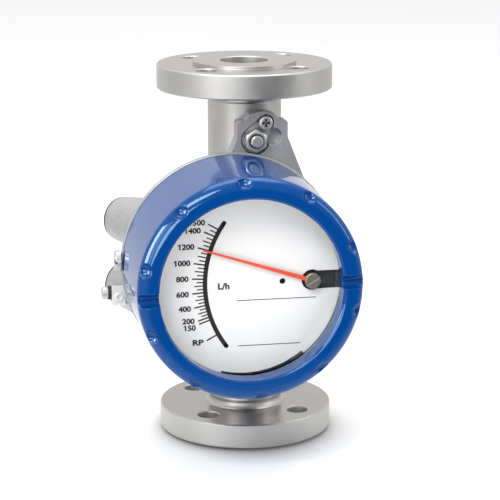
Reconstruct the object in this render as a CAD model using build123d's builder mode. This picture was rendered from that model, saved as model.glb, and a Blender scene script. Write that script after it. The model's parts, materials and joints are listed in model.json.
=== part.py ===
from build123d import *

import math
import os

# A metal-tube rotameter for a flanged pipe, with a round magnetic indicator in front of the tube.
# Sizes are in millimetres. The origin is the centre of the lower sealing face, +Z runs up the tube
# and the indicator looks towards -Y.

# Process connections: two flanges of nominal size 25
flange_rim_w = 15.0
flange_t = 18.0
raised_face_inset = 8.5
raised_face_h = 2.0
bolt_ring_w = 18.35
bolt_hole_d = 14.0
bolt_count = 4
bore_d = 32.0
rim_chamfer = 0.8
hole_chamfer = 0.5
neck_h = 6.0
neck_fillet = 4.0
neck_seat_depth = 3.0

# Measuring tube, its weld seams and the cone inside it
tube_d = 48.3
tube_wall = 2.6
seam_w = 3.2
seam_h = 0.6
cone_clearance = 0.1
guide_seat_wall = 4.55
throat_wall = 6.0
cone_opening = 2.8

# Guide stars and the rings that hold them
guide_h = 8.0
guide_rim = 2.0
guide_hub_d = 11.0
guide_rib_w = 2.5
guide_rib_count = 3
lower_guide_drop = 71.0
ring_t = 1.6
ring_depth = 1.0
ring_gap = 8.0

# Float
rod_d = 5.0
rod_running_gap = 0.06
float_head_gap = 0.3
float_body_part = 0.7
float_neck_part = 0.6
float_magnet_part = 2 / 3
float_neck_h = 1.4
float_magnet_h = 24.0
float_wall_end = 5.0
float_head_rise = 22.0
float_rod_reach = 2.0
magnet_gap = 0.1

# Travel of the float, and the pointer turn that goes with it
float_mm_per_rad = 1000.0 / 22.0
reading_deg = 18.0
float_travel_down = 35.5
float_travel_up = 12.7
stop_gap = 0.4

# Where the indicator sits: its axis, and the depths of its pieces
indicator_x = -16.5
tube_gap = 3.85
housing_depth = 32.0
cover_setback = 16.8
cover_depth = 75.2
dial_setback = 22.5

# Rear housing
cavity_d = 124.0
housing_side_wall = 6.0
rim_overhang = 0.8
rim_edge = 0.6
housing_rim_t = 3.0
housing_wall = 3.5
housing_edge_r = 3.0
spigot_wall = 3.8
rim_gap = 0.3

# Bracket arms of the housing, and the lugs on the tube that carry them
arm_x = 4.4
arm_setback = 2.0
arm_t = 10.0
arm_half_w = 16.6
arm_crown_half_w = 11.4
arm_top_half_w = 8.4
arm_flare = 0.394
arm_knee_rise = 1.9
arm_shoulder_rise = 12.8
arm_crown_rise = 16.6
arm_top_rise = 18.6
arm_top_gap = 9.9
arm_foot_depth = 27.0
arm_corner = 2.5
stud_gap = 6.7
stud_d = 8.0
stud_hole_d = 9.0
stud_over = 3.0
stud_tip_chamfer = 0.8
thread_gap = 0.05
lower_arm_r = 11.0
lower_arm_root_w = 48.0
lower_arm_root_h = 4.0
lower_arm_root_depth = 19.0
lug_w = 20.0
lug_h = 21.0
lug_corner = 4.0
lug_hole_depth = 5.0
pocket_depth = 5.0
pocket_stud_r = 9.4
pocket_screw_r = 5.4
pocket_spare_r = 5.4
clamp_screw_x = 6.8
clamp_screw_dz = 11.1
pocket_spare_x = 11.7
pocket_spare_dz = 2.5
strap_t = 2.5
strap_stud_r = 8.3
strap_screw_r = 4.7
nut_across_flats = 13.0
nut_h = 6.5
nut_face_d = 12.4
nut_bevel_deg = 30.0
nut_sink_d = 9.8
nut_sink_depth = 1.5
clamp_head_d = 9.5
clamp_head_h = 3.4
clamp_head_round = 1.8
clamp_shank_d = 5.0
clamp_shank_len = 7.0
strap_hole_play = 0.4
recess_w = 1.6
recess_depth = 2.2
recess_span = 0.55

# Cable entries on the left of the housing, pointing left and back
entry_inset = 6.5
entry_setback = 28.0
entry_dz = 22.0
entry_boss_d = 29.2
entry_boss_len = 50.0
entry_draft_deg = 7.0
entry_bore_d = 20.0
entry_bore_len = 46.0
entry_turn_deg = 60.0
entry_edge_r = 1.0
seal_d = 28.2
seal_t = 1.4
plug_flange_d = 25.0
plug_flange_t = 1.0
plug_socket = 10.0
plug_socket_depth = 6.0
plug_shank_len = 12.0
plug_gap = 0.1

# Cover lock screw and earth terminal
lock_rise = 3.7
lock_setback = 3.8
lock_lug_w = 8.0
lock_lug_y = 6.4
lock_head_d = 13.4
lock_head_t = 3.6
lock_edge_r = 0.6
lock_shank_len = 8.0
lock_shank_d = 5.0
lock_slot_w = 1.6
lock_slot_depth = 1.2
earth_overhang = 0.2
earth_setback = 5.5
earth_drop = 22.5
earth_pad_x = 8.0
earth_pad_y = 13.0
earth_pad_z = 12.0
earth_plate_t = 2.4
earth_plate_w = 8.6
earth_plate_h = 13.0
seat_gap = 0.4
earth_screw_head_d = 5.6
earth_screw_head_t = 2.2
earth_screw_shank_d = 3.0
earth_screw_depth = 4.0
earth_washer_d = 9.0
earth_washer_t = 2.2
earth_bolt_head_d = 8.2
earth_bolt_head_t = 4.0
earth_bolt_setback = 1.0
earth_bolt_shank_d = 5.0
earth_bolt_depth = 7.0
earth_bolt_socket = 4.0
earth_bolt_socket_depth = 2.2

# Front cover with its window
cover_thread_play = 0.5
cover_wall = 4.7
cover_taper = 0.8
cover_edge_r = 7.5
cover_lip_w = 6.0
cover_lip_r = 2.0
cover_lip_t = 12.8
window_ledge_w = 3.3
window_bore_depth = 21.0
glass_t = 4.0
gasket_t = 1.2
gasket_w = 5.0
window_ring_t = 2.8
window_ring_w = 3.5
window_gap = 0.3
notch_turn_deg = 2.8
notch_r = 4.4
notch_depth = 5.6
dimple_count = 10
dimple_r = 5.4
dimple_depth = 2.8
dimple_tilt_deg = 38.0
dimple_turn_deg = 4.4
oring_d = 2.0
oring_groove_w = 2.6
oring_groove_depth = 1.8
oring_setback = 3.2

# Movement inside the indicator
pivot_inset = 18.0
base_setback = 6.0
base_t = 2.5
base_play = 4.0
base_screw_len = 4.0
bridge_setback = 7.5
bridge_t = 3.0
bridge_rim_w = 3.0
pillar_d = 7.0
pillar_inset = 8.0
pillar_count = 4
boss_d = 8.0
boss_inset = 14.0
boss_count = 3
boss_start_deg = 60.0
boss_hole_depth = 4.5
entry_cutout_d = 20.0
base_screw_d = 4.0
base_screw_head_d = 7.0
base_screw_head_t = 2.6
screw_gap = 0.1
bush_d = 8.0
bush_flange_d = 10.5
bush_flange_t = 1.0
bush_over = 1.0
shaft_d = 3.0
shaft_running_gap = 0.04

# Scale plate
dial_t = 1.0
dial_play = 2.5
dial_slot_w = 11.6
dial_slot_r = 6.6
dial_dot_d = 3.8
dial_dot_x = -18.7
recess_start_deg = -106.0
recess_end_deg = -52.5
recess_start_depth = 1.2
recess_end_depth = 2.1

# Pointer and the follower behind it
pointer_gap = 1.7
pointer_t = 0.8
pointer_reach = 31.0
pointer_root_w = 2.9
pointer_tip_w = 1.0
pointer_eye_d = 8.6
hub_d = 10.0
hub_t = 1.5
hub_slot_w = 1.0
hub_slot_depth = 0.6
hub_slot_deg = 30.0
follower_setback = 9.0
follower_t = 1.6
follower_offset = 1.0
follower_w = 7.0
follower_magnet_d = 10.0
follower_magnet_t = 5.0
balance_r = 13.0
balance_d = 10.0
balance_t = 5.0

os.makedirs("parts", exist_ok=True)

# Diameters of the flanges, the cone and the float, worked out from the tube
tube_r = tube_d / 2
tube_inner_r = tube_r - tube_wall
bolt_circle_d = tube_d + 2 * bolt_ring_w
flange_d = bolt_circle_d + 2 * flange_rim_w
raised_face_d = bolt_circle_d - 2 * raised_face_inset
guide_seat_d = 2 * (tube_inner_r - guide_seat_wall)
cone_throat_d = guide_seat_d - 2 * throat_wall
cone_mouth_d = cone_throat_d + 2 * cone_opening
float_head_d = cone_throat_d - 2 * float_head_gap
float_body_d = float_body_part * float_head_d
float_neck_d = float_neck_part * float_body_d
float_magnet_d = float_magnet_part * float_body_d

# Diameters of the indicator, worked out from the housing's cavity
housing_d = cavity_d + 2 * housing_side_wall
spigot_d = cavity_d + 2 * spigot_wall
cover_bore_d = spigot_d + 2 * cover_thread_play
cover_back_d = cover_bore_d + 2 * cover_wall
cover_front_d = cover_back_d - 2 * cover_taper
housing_rim_d = cover_back_d + 2 * rim_overhang
window_bore_d = cover_bore_d - 2 * window_ledge_w
cover_lip_d = window_bore_d - 2 * cover_lip_w
gasket_in_d = window_bore_d - 2 * gasket_w
window_ring_in_d = window_bore_d - 2 * window_ring_w
dial_d = cavity_d - 2 * dial_play
bridge_d = dial_d
recess_start_r = dial_d / 2 - recess_start_depth
recess_end_r = dial_d / 2 - recess_end_depth
base_d = cavity_d - 2 * base_play
pillar_circle_d = base_d - 2 * pillar_inset
boss_circle_d = base_d - 2 * boss_inset

# Heights: the flanges stand clear of the bracket arms, and the indicator sits halfway between them
stud_offset_z = housing_rim_d / 2 + stud_gap
build_length = 2 * (stud_offset_z + arm_top_rise + arm_top_gap + flange_t)
indicator_z = build_length / 2
pivot_z = indicator_z
upper_stud_z = indicator_z + stud_offset_z
lower_stud_z = indicator_z - stud_offset_z
arm_knee_z = upper_stud_z + arm_knee_rise
arm_shoulder_z = upper_stud_z + arm_shoulder_rise
arm_crown_z = upper_stud_z + arm_crown_rise
arm_top_z = upper_stud_z + arm_top_rise
arm_foot_z = indicator_z + housing_d / 2 - arm_foot_depth
lower_arm_root_z = indicator_z - housing_d / 2 + lower_arm_root_depth
lock_z = indicator_z + lock_rise
earth_z = indicator_z - earth_drop
neck_top_z = flange_t + neck_h
cone_bottom_z = neck_top_z - neck_seat_depth
cone_top_z = build_length - cone_bottom_z

# Float levels at the reading, and the guides that they leave room for
float_rise_at_reading = math.radians(reading_deg) * float_mm_per_rad
magnet_z = pivot_z + float_rise_at_reading
magnet_bottom_z = magnet_z - float_magnet_h / 2
magnet_top_z = magnet_z + float_magnet_h / 2
body_bottom_z = magnet_bottom_z - float_wall_end
head_edge_z = magnet_z + float_head_rise
head_top_z = head_edge_z + (float_head_d - float_neck_d) / 2
float_high_stop_z = head_top_z + float_neck_h
upper_guide_z = float_high_stop_z + float_travel_up + stop_gap
upper_guide_top_z = upper_guide_z + guide_h
lower_guide_z = indicator_z - lower_guide_drop
lower_guide_top_z = lower_guide_z + guide_h
float_low_stop_z = lower_guide_top_z + stop_gap + float_travel_down
rod_low_end_z = lower_guide_z - float_travel_up - float_rod_reach
rod_high_end_z = upper_guide_top_z + float_travel_down + float_rod_reach

# Depths along Y, from the tube forward
housing_back_y = -tube_r - tube_gap
housing_front_y = housing_back_y - housing_depth
cover_back_y = housing_back_y - cover_setback
cover_front_y = cover_back_y - cover_depth
cover_lip_back_y = cover_front_y + cover_lip_t
window_bore_back_y = cover_front_y + window_bore_depth
glass_front_y = cover_lip_back_y + gasket_t
glass_back_y = glass_front_y + glass_t
dial_front_y = cover_front_y + dial_setback
dial_back_y = dial_front_y + dial_t
bridge_back_y = dial_front_y + bridge_setback
bridge_front_y = bridge_back_y - bridge_t
pointer_back_y = dial_front_y - pointer_gap
pointer_front_y = pointer_back_y - pointer_t
hub_front_y = pointer_front_y - hub_t
base_y = housing_back_y - base_setback
base_front_y = base_y - base_t
follower_y = base_y - follower_setback
oring_y = cover_back_y - oring_setback
housing_front_face_y = cover_back_y + rim_gap
arm_back_y = housing_back_y - arm_setback
arm_front_y = arm_back_y - arm_t
pocket_floor_y = arm_front_y + pocket_depth
strap_front_y = pocket_floor_y - strap_t
nut_front_y = strap_front_y - nut_h
stud_tip_y = nut_front_y - stud_over
entry_y = housing_back_y + entry_setback
lock_y = cover_back_y + lock_setback
earth_y = housing_back_y + earth_setback
earth_bolt_y = earth_y + earth_bolt_setback

# Places along X
pivot_dx = dial_d / 2 - pivot_inset
pivot_x = indicator_x + pivot_dx
pointer_len = pivot_dx + pointer_reach
follower_r = pivot_x - follower_offset
entry_x = indicator_x - housing_rim_d / 2 + entry_inset
earth_x = indicator_x - housing_rim_d / 2 - earth_overhang

mid_plane = Plane.XY.offset(build_length / 2)
tube_section = Plane.XZ
indicator_section = Plane(origin=(indicator_x, 0, indicator_z), x_dir=(1, 0, 0), z_dir=(0, 0, 1))
indicator_axis = Axis((indicator_x, 0, indicator_z), (0, 1, 0))


def edges_at(axis, level):
    """Round edges of the piece being built whose centre is at this level along the axis."""
    return edges().filter_by(GeomType.CIRCLE).filter_by_position(axis, level - 0.001, level + 0.001)


def facing(y):
    """Plane at this depth that faces the reader: local x is +X and local y is +Z."""
    return Plane(origin=(0, y, 0), x_dir=(1, 0, 0), z_dir=(0, -1, 0))


def on_indicator(y):
    """The facing plane with its origin on the indicator's axis."""
    return Plane(origin=(indicator_x, y, indicator_z), x_dir=(1, 0, 0), z_dir=(0, -1, 0))


def on_pivot(y, turn_deg=0.0):
    """The facing plane on the pointer's pivot, turned so that local -x runs along the pointer."""
    turn = math.radians(turn_deg)
    direction = (math.cos(turn), 0, -math.sin(turn))
    return Plane(origin=(pivot_x, y, pivot_z), x_dir=direction, z_dir=(0, -1, 0))


# Lower flange: raised face, rim with bolt holes, and a neck that takes the end of the cone
with BuildPart() as lower_flange:
    with BuildSketch(Plane.XY):
        Circle(raised_face_d / 2)
    extrude(amount=raised_face_h)
    with BuildSketch(Plane.XY.offset(raised_face_h)):
        Circle(flange_d / 2)
    extrude(amount=flange_t - raised_face_h)
    rim_edges = edges().filter_by(GeomType.CIRCLE).sort_by(SortBy.RADIUS)[-2:]
    chamfer(rim_edges, length=rim_chamfer)
    with BuildSketch(Plane.XY.offset(flange_t)):
        Circle(tube_r)
    extrude(amount=neck_h)
    neck_root = edges_at(Axis.Z, flange_t)
    fillet(neck_root.sort_by(SortBy.RADIUS)[0], radius=neck_fillet)
    with BuildSketch(Plane.XY):
        Circle(bore_d / 2)
    extrude(amount=neck_top_z, mode=Mode.SUBTRACT)
    with BuildSketch(Plane.XY.offset(cone_bottom_z)):
        Circle(tube_inner_r)
    extrude(amount=neck_seat_depth, mode=Mode.SUBTRACT)
    with BuildSketch(Plane.XY.offset(raised_face_h)):
        with PolarLocations(bolt_circle_d / 2, bolt_count, start_angle=180 / bolt_count):
            Circle(bolt_hole_d / 2)
    extrude(amount=flange_t - raised_face_h, mode=Mode.SUBTRACT)
    hole_edges = edges().filter_by(GeomType.CIRCLE).filter_by(
        lambda edge: abs(edge.radius - bolt_hole_d / 2) < 0.001
    )
    chamfer(hole_edges, length=hole_chamfer)
    mouth = edges_at(Axis.Z, 0)
    chamfer(mouth.sort_by(SortBy.RADIUS)[0], length=hole_chamfer)
lower_flange.part.label = "lower_flange"
export_step(lower_flange.part, "parts/lower_flange.step")

# Upper flange: the same casting, turned over at the other end of the tube
with BuildPart() as upper_flange:
    mirror(lower_flange.part, about=mid_plane)
upper_flange.part.label = "upper_flange"
export_step(upper_flange.part, "parts/upper_flange.step")

# Measuring tube between the two necks
with BuildPart() as measuring_tube:
    with BuildSketch(Plane.XY.offset(neck_top_z)):
        Circle(tube_r)
        Circle(tube_inner_r, mode=Mode.SUBTRACT)
    extrude(amount=build_length - 2 * neck_top_z)
measuring_tube.part.label = "measuring_tube"
export_step(measuring_tube.part, "parts/measuring_tube.step")

# Weld seams: half-round beads over the joints of necks and tube
with BuildPart() as weld_seams:
    with BuildSketch(tube_section):
        with Locations((tube_r, neck_top_z), (tube_r, build_length - neck_top_z)):
            Ellipse(seam_h, seam_w / 2)
        with Locations((tube_r / 2, build_length / 2)):
            Rectangle(tube_r, build_length, mode=Mode.SUBTRACT)
    revolve(axis=Axis.Z)
weld_seams.part.label = "weld_seams"
export_step(weld_seams.part, "parts/weld_seams.step")

# Measuring cone: a sleeve whose tapered bore sets the flow area at each height of the float
cone_r = tube_inner_r - cone_clearance
taper_start_z = magnet_z + float_head_rise - float_travel_down - stop_gap - 3
taper_end_z = upper_guide_z - guide_h / 2
with BuildPart() as measuring_cone:
    with BuildSketch(tube_section):
        with BuildLine():
            Polyline(
                (guide_seat_d / 2, cone_bottom_z),
                (cone_r, cone_bottom_z),
                (cone_r, cone_top_z),
                (guide_seat_d / 2, cone_top_z),
                (guide_seat_d / 2, upper_guide_z),
                (cone_mouth_d / 2, upper_guide_z),
                (cone_mouth_d / 2, taper_end_z),
                (cone_throat_d / 2, taper_start_z),
                (cone_throat_d / 2, lower_guide_top_z),
                (guide_seat_d / 2, lower_guide_top_z),
                close=True,
            )
        make_face()
    revolve(axis=Axis.Z)
    for groove_z in (lower_guide_z - ring_t, upper_guide_top_z):
        with BuildSketch(Plane.XY.offset(groove_z)):
            Circle(guide_seat_d / 2 + ring_depth)
            Circle(guide_seat_d / 2 - ring_depth, mode=Mode.SUBTRACT)
        extrude(amount=ring_t, mode=Mode.SUBTRACT)
measuring_cone.part.label = "measuring_cone"
export_step(measuring_cone.part, "parts/measuring_cone.step")


def guide_star(z):
    """Sketches one guide star on the plane at this height and extrudes it upwards."""
    with BuildSketch(Plane.XY.offset(z)) as star:
        Circle(guide_seat_d / 2 - cone_clearance)
        Circle(guide_seat_d / 2 - cone_clearance - guide_rim, mode=Mode.SUBTRACT)
        with PolarLocations(guide_seat_d / 4, guide_rib_count):
            Rectangle(guide_seat_d / 2 - guide_rim, guide_rib_w)
        Circle(guide_hub_d / 2)
        Circle(rod_d / 2 + rod_running_gap, mode=Mode.SUBTRACT)
    extrude(star.sketch, amount=guide_h)


# Guide stars that the float's rods run in
with BuildPart() as lower_guide:
    guide_star(lower_guide_z)
lower_guide.part.label = "lower_guide"
export_step(lower_guide.part, "parts/lower_guide.step")

with BuildPart() as upper_guide:
    guide_star(upper_guide_z)
upper_guide.part.label = "upper_guide"
export_step(upper_guide.part, "parts/upper_guide.step")

# Retaining rings: open spring rings in the grooves of the cone
with BuildPart() as retaining_rings:
    for groove_z in (lower_guide_z - ring_t, upper_guide_top_z):
        with BuildSketch(Plane.XY.offset(groove_z)):
            Circle(guide_seat_d / 2 + ring_depth - cone_clearance)
            Circle(guide_seat_d / 2 - guide_rim, mode=Mode.SUBTRACT)
            with Locations((0, guide_seat_d / 2)):
                Rectangle(ring_gap, guide_seat_d / 2, mode=Mode.SUBTRACT)
        extrude(amount=ring_t)
retaining_rings.part.label = "retaining_rings"
export_step(retaining_rings.part, "parts/retaining_rings.step")

# Float body: upper rod, head with its measuring edge, and the housing of the magnet
with BuildPart() as float_body:
    with BuildSketch(tube_section):
        with BuildLine():
            Polyline(
                (0, magnet_bottom_z),
                (float_body_d / 2, magnet_bottom_z),
                (float_body_d / 2, magnet_top_z),
                (float_head_d / 2, head_edge_z),
                (float_neck_d / 2, head_top_z),
                (float_neck_d / 2, float_high_stop_z),
                (rod_d / 2, float_high_stop_z),
                (rod_d / 2, rod_high_end_z),
                (0, rod_high_end_z),
                close=True,
            )
        make_face()
    revolve(axis=Axis.Z)
    with BuildSketch(Plane.XY.offset(magnet_bottom_z)):
        Circle(float_magnet_d / 2 + magnet_gap)
    extrude(amount=float_magnet_h + magnet_gap, mode=Mode.SUBTRACT)
float_body.part.label = "float_body"
export_step(float_body.part, "parts/float_body.step")

# Float magnet, sealed between the body and the tail
with BuildPart() as float_magnet:
    with BuildSketch(Plane.XY.offset(magnet_bottom_z)):
        Circle(float_magnet_d / 2)
    extrude(amount=float_magnet_h)
float_magnet.part.label = "float_magnet"
export_step(float_magnet.part, "parts/float_magnet.step")

# Float tail: closes the magnet's chamber and carries the lower rod
with BuildPart() as float_tail:
    with BuildSketch(tube_section):
        with BuildLine():
            Polyline(
                (0, magnet_bottom_z),
                (float_body_d / 2, magnet_bottom_z),
                (float_body_d / 2, body_bottom_z),
                (float_neck_d / 2, body_bottom_z - (float_body_d - float_neck_d) / 2),
                (float_neck_d / 2, float_low_stop_z),
                (rod_d / 2, float_low_stop_z),
                (rod_d / 2, rod_low_end_z),
                (0, rod_low_end_z),
                close=True,
            )
        make_face()
    revolve(axis=Axis.Z)
float_tail.part.label = "float_tail"
export_step(float_tail.part, "parts/float_tail.step")

# Bracket lugs: blocks saddled on the tube, each with a blind hole for its stud
with BuildPart() as tube_lugs:
    with BuildSketch(facing(arm_back_y)):
        with Locations((0, upper_stud_z), (0, lower_stud_z)):
            RectangleRounded(lug_w, lug_h, lug_corner)
    extrude(amount=-tube_r)
    with BuildSketch(Plane.XY):
        Circle(tube_r)
    extrude(amount=build_length, mode=Mode.SUBTRACT)
    with BuildSketch(facing(arm_back_y + lug_hole_depth)):
        with Locations((0, upper_stud_z), (0, lower_stud_z)):
            Circle(stud_d / 2)
    extrude(amount=lug_hole_depth, mode=Mode.SUBTRACT)
tube_lugs.part.label = "tube_lugs"
export_step(tube_lugs.part, "parts/tube_lugs.step")

# Bracket studs, screwed into the lugs through both arms of the housing
with BuildPart() as bracket_studs:
    with BuildSketch(facing(arm_back_y + lug_hole_depth)):
        with Locations((0, upper_stud_z), (0, lower_stud_z)):
            Circle(stud_d / 2)
    extrude(amount=arm_back_y + lug_hole_depth - stud_tip_y)
    chamfer(edges_at(Axis.Y, stud_tip_y), length=stud_tip_chamfer)
bracket_studs.part.label = "bracket_studs"
export_step(bracket_studs.part, "parts/bracket_studs.step")

# Bracket nuts: a corner points up, the front corners are bevelled and the hole is sunk
nut_corner_r = nut_across_flats / math.sqrt(3)
nut_bevel = (nut_corner_r - nut_face_d / 2) * math.tan(math.radians(nut_bevel_deg))
with BuildPart() as bracket_nuts:
    for stud_z in (upper_stud_z, lower_stud_z):
        with BuildSketch(facing(strap_front_y)):
            with Locations((0, stud_z)):
                RegularPolygon(nut_across_flats / 2, 6, major_radius=False, rotation=30)
                Circle(stud_d / 2 + thread_gap, mode=Mode.SUBTRACT)
        extrude(amount=nut_h)
        with BuildSketch(facing(nut_front_y)):
            with Locations((0, stud_z)):
                Circle(nut_sink_d / 2)
        extrude(amount=-nut_sink_depth, mode=Mode.SUBTRACT)
        with BuildSketch(Plane.YZ):
            with BuildLine():
                Polyline(
                    (nut_front_y, stud_z + nut_face_d / 2),
                    (nut_front_y + nut_bevel, stud_z + nut_corner_r),
                    (nut_front_y, stud_z + nut_corner_r),
                    close=True,
                )
            make_face()
        revolve(axis=Axis((0, 0, stud_z), (0, 1, 0)), mode=Mode.SUBTRACT)
bracket_nuts.part.label = "bracket_nuts"
export_step(bracket_nuts.part, "parts/bracket_nuts.step")

# Clamp strap: an oblong washer in the upper arm's pocket, under the nut and the clamp screw
clamp_screw_z = upper_stud_z + clamp_screw_dz
with BuildPart() as clamp_strap:
    with BuildSketch(facing(pocket_floor_y)):
        with Locations((0, upper_stud_z)):
            Circle(strap_stud_r)
        with Locations((clamp_screw_x, clamp_screw_z)):
            Circle(strap_screw_r)
        make_hull()
        with Locations((0, upper_stud_z)):
            Circle((stud_d + strap_hole_play) / 2, mode=Mode.SUBTRACT)
        with Locations((clamp_screw_x, clamp_screw_z)):
            Circle((clamp_shank_d + strap_hole_play) / 2, mode=Mode.SUBTRACT)
    extrude(amount=strap_t)
clamp_strap.part.label = "clamp_strap"
export_step(clamp_strap.part, "parts/clamp_strap.step")

# Lower bracket washer, as thick as the strap
with BuildPart() as lower_bracket_washer:
    with BuildSketch(facing(pocket_floor_y)):
        with Locations((0, lower_stud_z)):
            Circle(strap_stud_r)
            Circle((stud_d + strap_hole_play) / 2, mode=Mode.SUBTRACT)
    extrude(amount=strap_t)
lower_bracket_washer.part.label = "lower_bracket_washer"
export_step(lower_bracket_washer.part, "parts/lower_bracket_washer.step")


def cross_recess(front_y, x, z, head_d, depth):
    """Cuts a cross recess into a screw head whose front face is at this depth."""
    with BuildSketch(facing(front_y)) as cross:
        with Locations((x, z)):
            Rectangle(head_d * recess_span, recess_w)
            Rectangle(recess_w, head_d * recess_span)
    extrude(cross.sketch, amount=-depth, mode=Mode.SUBTRACT)


# Clamp screw: pan head with a cross recess
clamp_head_y = strap_front_y - clamp_head_h
with BuildPart() as clamp_screw:
    with BuildSketch(facing(strap_front_y)):
        with Locations((clamp_screw_x, clamp_screw_z)):
            Circle(clamp_head_d / 2)
    extrude(amount=clamp_head_h)
    head_edge = edges().filter_by(GeomType.CIRCLE).sort_by(Axis.Y)[0]
    fillet(head_edge, radius=clamp_head_round)
    with BuildSketch(facing(strap_front_y)):
        with Locations((clamp_screw_x, clamp_screw_z)):
            Circle(clamp_shank_d / 2)
    extrude(amount=-clamp_shank_len)
    cross_recess(clamp_head_y, clamp_screw_x, clamp_screw_z, clamp_head_d, recess_depth)
clamp_screw.part.label = "clamp_screw"
export_step(clamp_screw.part, "parts/clamp_screw.step")

# Rear housing levels
cavity_floor_y = housing_back_y - housing_wall
rim_back_y = housing_front_face_y + housing_rim_t
groove_floor_r = spigot_d / 2 - oring_groove_depth
arm_foot_half_w = arm_half_w + arm_flare * (arm_knee_z - arm_foot_z)
lock_head_x = indicator_x - housing_rim_d / 2
earth_front_y = earth_y - earth_pad_y / 2
earth_left_x = earth_x - earth_pad_x / 2


def entry_plane(dz, inward):
    """Plane across a cable entry at this distance into it; its normal points into the housing."""
    turn = math.radians(entry_turn_deg)
    step_x = math.cos(turn)
    step_y = -math.sin(turn)
    centre = (entry_x + inward * step_x, entry_y + inward * step_y, indicator_z + dz)
    return Plane(origin=centre, x_dir=(0, 0, 1), z_dir=(step_x, step_y, 0))


def facing_left(x, y, z):
    """Plane at this point that faces -X, with local y along +Z."""
    return Plane(origin=(x, y, z), x_dir=(0, -1, 0), z_dir=(-1, 0, 0))


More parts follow.
